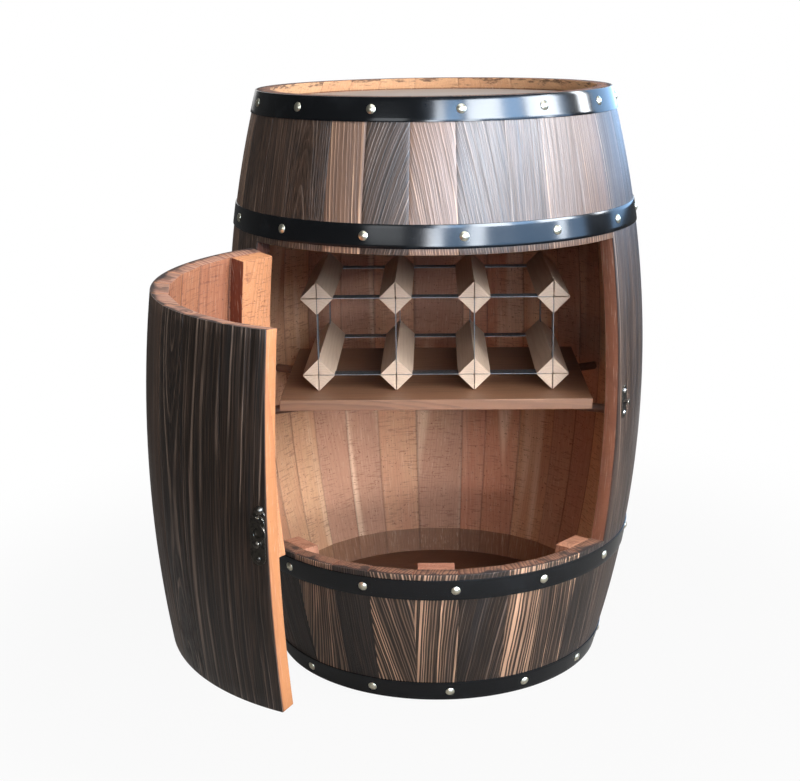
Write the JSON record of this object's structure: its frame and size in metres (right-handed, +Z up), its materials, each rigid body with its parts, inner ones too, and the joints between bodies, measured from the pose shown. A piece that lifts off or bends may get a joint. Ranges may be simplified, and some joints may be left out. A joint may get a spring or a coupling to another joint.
{
  "type": "barrel bar cabinet",
  "caption": "Upright coopered barrel cabinet with black hoops, a curved front door on side hinges, a swing-hook latch, an inner shelf and a bottle rack of posts set on edge.",
  "frame": {"origin": "on the barrel's axis at floor level", "axes": "+Z up along the barrel's axis, the doorway faces -Y, +X to the right seen from the front"},
  "size_m": [0.6253, 0.9503, 0.8],
  "materials": {
    "charred_stave_wood": "charred, brushed and sealed to a half gloss outside, raw inside",
    "raw_fir": "sawn, raw",
    "head_boards_wood": "lightly charred, satin",
    "shelf_wood": "stained, satin",
    "rack_wood": "planed, raw",
    "hoop_steel": "black gloss",
    "nail_metal": "pale polished",
    "strip_steel": "bright",
    "hinge_steel": "zinc plated",
    "antique_bronze": "darkened, worn bright on edges"
  },
  "bodies": {
    "cabinet": {"stave_01": "charred_stave_wood", "stave_02": "charred_stave_wood", "stave_03": "charred_stave_wood", "stave_04": "charred_stave_wood", "stave_05": "charred_stave_wood", "stave_06": "charred_stave_wood", "stave_07": "charred_stave_wood", "stave_08": "charred_stave_wood", "stave_09": "charred_stave_wood", "stave_10": "charred_stave_wood", "stave_11": "charred_stave_wood", "stave_12": "charred_stave_wood", "stave_13": "charred_stave_wood", "stave_14": "charred_stave_wood", "stave_15": "charred_stave_wood", "stave_16": "charred_stave_wood", "stave_17": "charred_stave_wood", "stave_18": "charred_stave_wood", "stave_19": "charred_stave_wood", "stave_20": "charred_stave_wood", "upper_front_staves": "charred_stave_wood", "lower_front_staves": "charred_stave_wood", "lower_front_battens": "raw_fir", "top_chime_hoop": "hoop_steel", "upper_quarter_hoop": "hoop_steel", "lower_quarter_hoop": "hoop_steel", "bottom_chime_hoop": "hoop_steel", "top_chime_nails": "nail_metal", "upper_quarter_nails": "nail_metal", "lower_quarter_nails": "nail_metal", "bottom_chime_nails": "nail_metal", "hoop_rivets": "hoop_steel", "top_head_boards": "head_boards_wood", "bottom_head_boards": "head_boards_wood", "shelf": "shelf_wood", "shelf_pins": "rack_wood", "rack_posts_lower": "rack_wood", "rack_posts_upper": "rack_wood", "rack_level_strips": "strip_steel", "rack_upright_strips": "strip_steel", "hinge_frame_leaf_lower": "hinge_steel", "hinge_frame_leaf_upper": "hinge_steel", "hinge_pin_lower": "hinge_steel", "hinge_pin_upper": "hinge_steel", "hinge_frame_screws": "hinge_steel", "catch_plate": "antique_bronze", "catch_stud": "antique_bronze", "catch_screws": "nail_metal"},
    "door": {"door_staves": "charred_stave_wood", "door_hinge_batten": "raw_fir", "hinge_door_leaf_lower": "hinge_steel", "hinge_door_leaf_upper": "hinge_steel", "hinge_door_screws": "hinge_steel", "latch_plate": "antique_bronze", "latch_rivet": "antique_bronze", "latch_screws": "antique_bronze"},
    "latch_hook_arm": {"latch_hook": "antique_bronze"}
  },
  "joints": [
    {"name": "door_hinge", "type": "hinge", "parent": "cabinet", "child": "door", "pos_m": [-0.24552, -0.17064, 0.406], "axis": [0.0082, 0.0057, -1], "range_deg": [-81.2, 88]},
    {"name": "latch_pivot", "type": "hinge", "parent": "door", "child": "latch_hook_arm", "pos_m": [-0.17837, -0.64473, 0.38798], "axis": [-0.4748, -0.88, -0.012], "range_deg": [-82, 90]}
  ]
}
